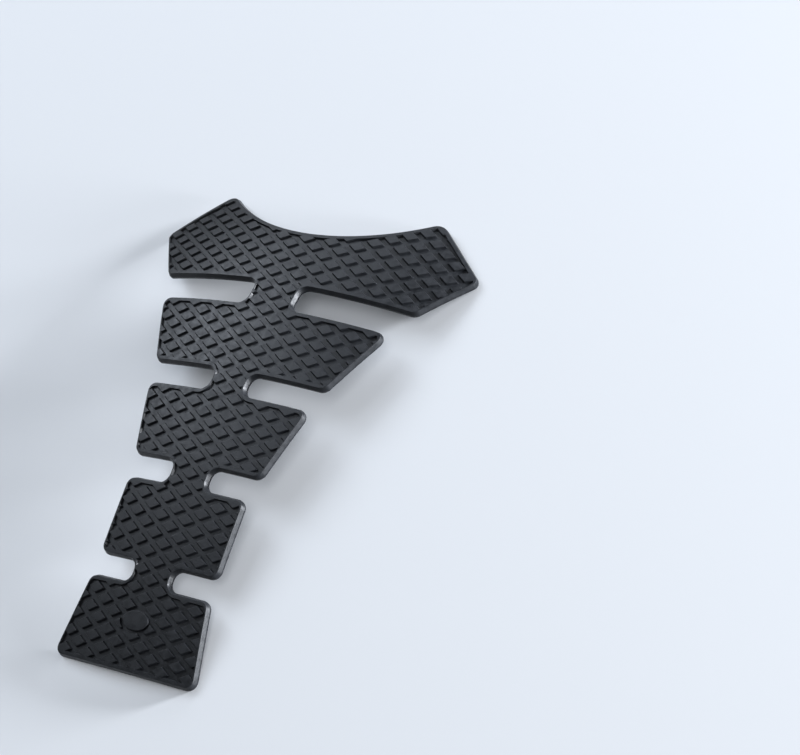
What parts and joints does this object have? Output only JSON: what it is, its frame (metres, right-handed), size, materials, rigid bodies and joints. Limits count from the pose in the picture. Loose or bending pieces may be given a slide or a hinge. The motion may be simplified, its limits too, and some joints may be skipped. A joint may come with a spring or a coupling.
{
  "type": "motorcycle tank pad",
  "caption": "Stick-on rubber tank pad: a wide curved head on a spine of tapering segments, with a diamond tread inside a plain border.",
  "frame": {"origin": "under the middle of the pad's box, on the surface that its lowest corners rest on", "axes": "+X across the pad, +Y along the spine towards the wide head, +Z out of the treaded face"},
  "size_m": [0.1652, 0.2222, 0.0208],
  "materials": {
    "black_rubber": "satin moulded rubber"
  },
  "bodies": {
    "root": {"tank_pad": "black_rubber"}
  },
  "joints": []
}
